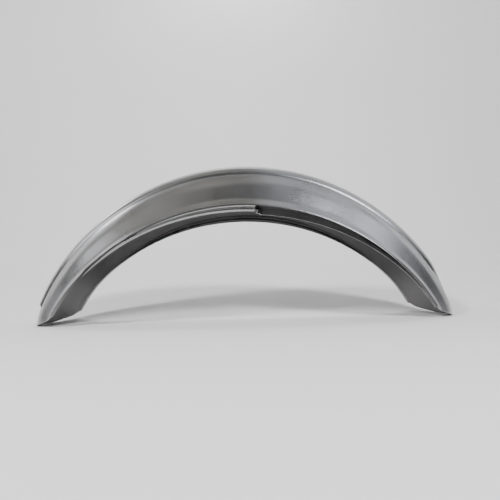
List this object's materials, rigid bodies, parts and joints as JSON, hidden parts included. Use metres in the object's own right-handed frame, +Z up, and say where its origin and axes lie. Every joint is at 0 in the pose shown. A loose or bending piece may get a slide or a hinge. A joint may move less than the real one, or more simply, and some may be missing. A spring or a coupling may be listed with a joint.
{
  "type": "motorcycle rear fender",
  "caption": "Arched steel rear fender with a raised centre rib, beaded lower lips and a chain side lip pressed in past the top, standing on its two rounded ends",
  "frame": {"origin": "On the ground under the arch, midway between the two ends and midway across the width", "axes": "+X along the length towards the front end, +Y across the width towards the side without the chain clearance, +Z up through the top of the arch"},
  "size_m": [0.629, 0.1498, 0.2342],
  "materials": {
    "bare_steel": "bare pressed sheet, satin grey with soft broad highlights"
  },
  "bodies": {
    "root": {"fender": "bare_steel"}
  },
  "joints": []
}
